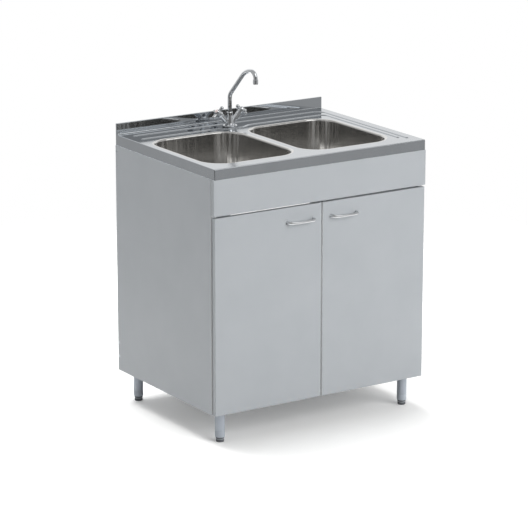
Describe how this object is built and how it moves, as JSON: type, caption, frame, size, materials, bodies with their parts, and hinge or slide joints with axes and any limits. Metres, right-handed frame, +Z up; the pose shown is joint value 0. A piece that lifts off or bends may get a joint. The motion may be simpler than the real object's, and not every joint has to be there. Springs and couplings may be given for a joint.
{
  "type": "kitchen sink unit",
  "caption": "Grey base cabinet with hinged doors on adjustable legs, with a lay-on stainless sink with bowls side by side, a folded upstand and a chrome mixer tap with a swivelling spout.",
  "frame": {"origin": "on the floor, in the middle of the width and of the depth over the door handles", "axes": "+Z up, +X to the right of someone standing in front, +Y towards the wall"},
  "size_m": [0.8, 0.626, 1.1035],
  "materials": {
    "grey_board": "grey melamine laminate on chipboard, satin",
    "stainless": "stainless steel sheet, fine satin to mirror",
    "chrome": "polished chrome plate on brass",
    "plated_steel": "nickel-plated or zinc-plated steel",
    "leg_metal": "blue-grey lacquered steel tube",
    "foot_plastic": "dark grey plastic foot",
    "bush_plastic": "blue-grey moulded bush, matched to the legs",
    "handle_metal": "satin silver lacquer on cast metal",
    "grey_rubber": "black rubber seal",
    "white_plastic": "white waste fittings",
    "red_plastic": "red index cap",
    "blue_plastic": "blue index cap"
  },
  "bodies": {
    "cabinet": {"left_side_panel": "grey_board", "right_side_panel": "grey_board", "bottom_panel": "grey_board", "front_rail": "grey_board", "back_top_rail": "grey_board", "back_bottom_rail": "grey_board", "false_front": "grey_board", "false_front_screws": "plated_steel", "cam_locks": "plated_steel", "cam_bolts": "plated_steel", "chipboard_screws": "plated_steel", "front_left_leg": "leg_metal", "front_right_leg": "leg_metal", "back_left_leg": "leg_metal", "back_right_leg": "leg_metal", "leg_bushes": "bush_plastic", "rail_screws": "plated_steel", "hinge_arms": "plated_steel", "hinge_plates": "plated_steel", "sink_deck": "stainless", "left_bowl": "stainless", "right_bowl": "stainless", "sink_clips": "plated_steel", "tap_body": "chrome", "tap_gasket": "grey_rubber", "tap_backnut": "plated_steel", "spout_nut": "chrome", "hot_headwork": "chrome", "cold_headwork": "chrome", "waste_strainers": "stainless", "waste_bodies": "white_plastic", "waste_screws": "plated_steel", "waste_gaskets": "grey_rubber", "left_waste_pipe": "white_plastic", "waste_tee": "white_plastic", "trap_body": "white_plastic", "trap_cup": "white_plastic", "trap_outlet_pipe": "white_plastic"},
    "left_door": {"left_door": "grey_board", "left_handle": "handle_metal", "left_handle_screws": "plated_steel", "left_upper_hinge_cup": "plated_steel", "left_lower_hinge_cup": "plated_steel"},
    "right_door": {"right_door": "grey_board", "right_handle": "handle_metal", "right_handle_screws": "plated_steel", "right_upper_hinge_cup": "plated_steel", "right_lower_hinge_cup": "plated_steel"},
    "spout": {"spout": "chrome", "aerator": "chrome"},
    "hot_handle": {"hot_tap_handle": "chrome", "hot_spindle": "chrome", "hot_index": "red_plastic"},
    "cold_handle": {"cold_tap_handle": "chrome", "cold_spindle": "chrome", "cold_index": "blue_plastic"},
    "front_left_foot": {"front_left_foot": "foot_plastic"},
    "front_right_foot": {"front_right_foot": "foot_plastic"},
    "back_left_foot": {"back_left_foot": "foot_plastic"},
    "back_right_foot": {"back_right_foot": "foot_plastic"}
  },
  "joints": [
    {"name": "left_door_hinge", "type": "hinge", "parent": "cabinet", "child": "left_door", "pos_m": [-0.3908, -0.2802, 0.4195], "axis": [0, 0, -1], "range_deg": [0, 105]},
    {"name": "right_door_hinge", "type": "hinge", "parent": "cabinet", "child": "right_door", "pos_m": [0.3908, -0.2802, 0.4195], "axis": [0, 0, 1], "range_deg": [0, 105]},
    {"name": "spout_swivel", "type": "hinge", "parent": "cabinet", "child": "spout", "pos_m": [-0.021, 0.222, 0.8945], "axis": [0, 0, 1], "range_deg": [-120, 120]},
    {"name": "hot_tap_turn", "type": "hinge", "parent": "cabinet", "child": "hot_handle", "pos_m": [-0.021, 0.222, 0.8945], "axis": [-0.682, 0, 0.7314], "range_deg": [0, 180]},
    {"name": "cold_tap_turn", "type": "hinge", "parent": "cabinet", "child": "cold_handle", "pos_m": [-0.021, 0.222, 0.8945], "axis": [0.682, 0, 0.7314], "range_deg": [0, 180]},
    {"name": "front_left_foot_screw", "type": "slide", "parent": "cabinet", "child": "front_left_foot", "axis": [0, 0, -1], "range_m": [0, 0.015]},
    {"name": "front_right_foot_screw", "type": "slide", "parent": "cabinet", "child": "front_right_foot", "axis": [0, 0, -1], "range_m": [0, 0.015]},
    {"name": "back_left_foot_screw", "type": "slide", "parent": "cabinet", "child": "back_left_foot", "axis": [0, 0, -1], "range_m": [0, 0.015]},
    {"name": "back_right_foot_screw", "type": "slide", "parent": "cabinet", "child": "back_right_foot", "axis": [0, 0, -1], "range_m": [0, 0.015]}
  ]
}
